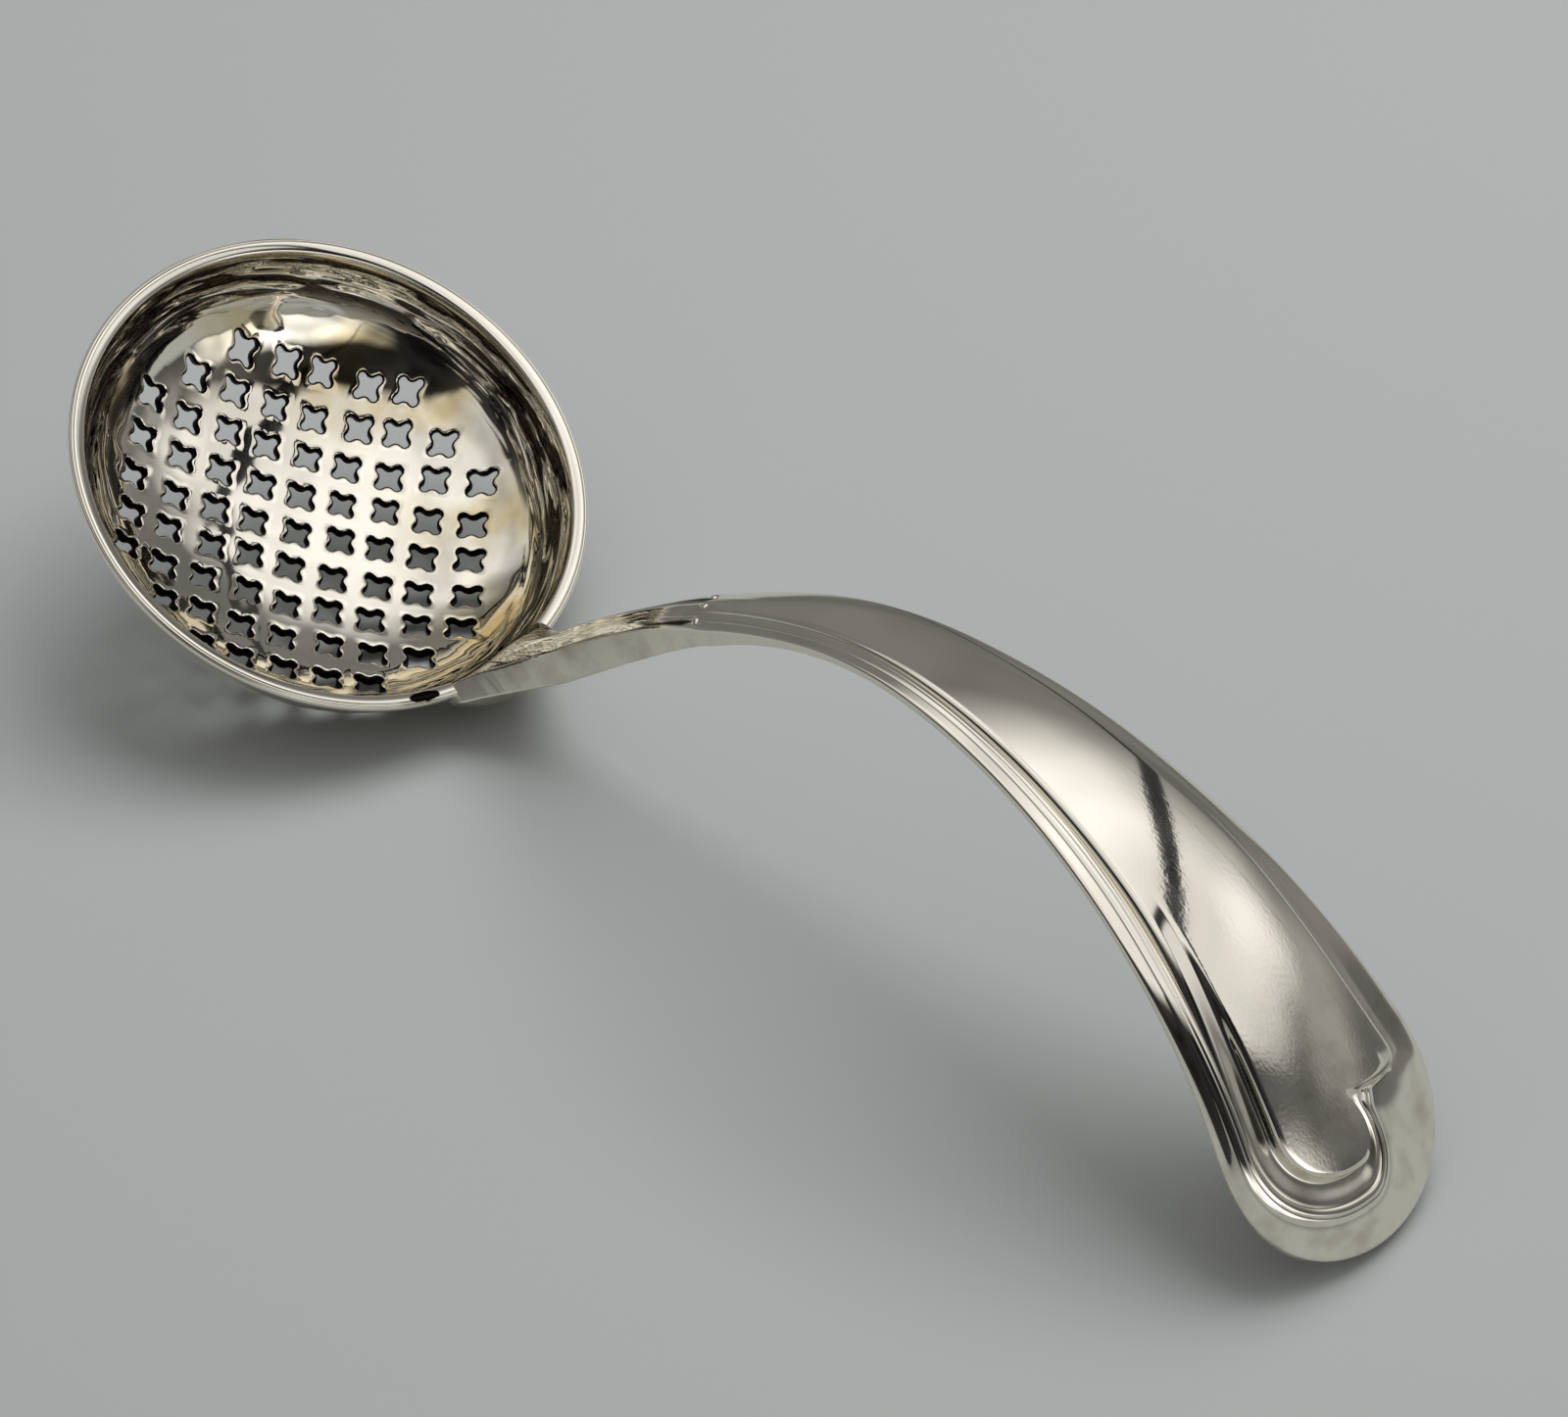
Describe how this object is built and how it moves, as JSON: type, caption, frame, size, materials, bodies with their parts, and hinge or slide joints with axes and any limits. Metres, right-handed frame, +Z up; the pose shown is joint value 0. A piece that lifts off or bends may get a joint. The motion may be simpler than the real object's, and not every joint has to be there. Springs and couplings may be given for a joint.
{
  "type": "sugar sifter spoon",
  "caption": "Small silver ladle with a round pierced bowl, a reeded rim wire and an arched, thread-bordered handle, for sifting fine sugar.",
  "frame": {"origin": "on the table under the middle of the spoon's length, as it rests on its bowl and on the tip of its handle", "axes": "+X from the bowl along the handle to its tip, +Z up from the table, the spoon's mirror plane is XZ"},
  "size_m": [0.1496, 0.0514, 0.0363],
  "materials": {
    "bowl_silver": "polished",
    "wire_silver": "polished",
    "handle_silver": "polished"
  },
  "bodies": {
    "root": {"pierced_bowl": "bowl_silver", "rim_wire": "wire_silver", "handle": "handle_silver"}
  },
  "joints": []
}
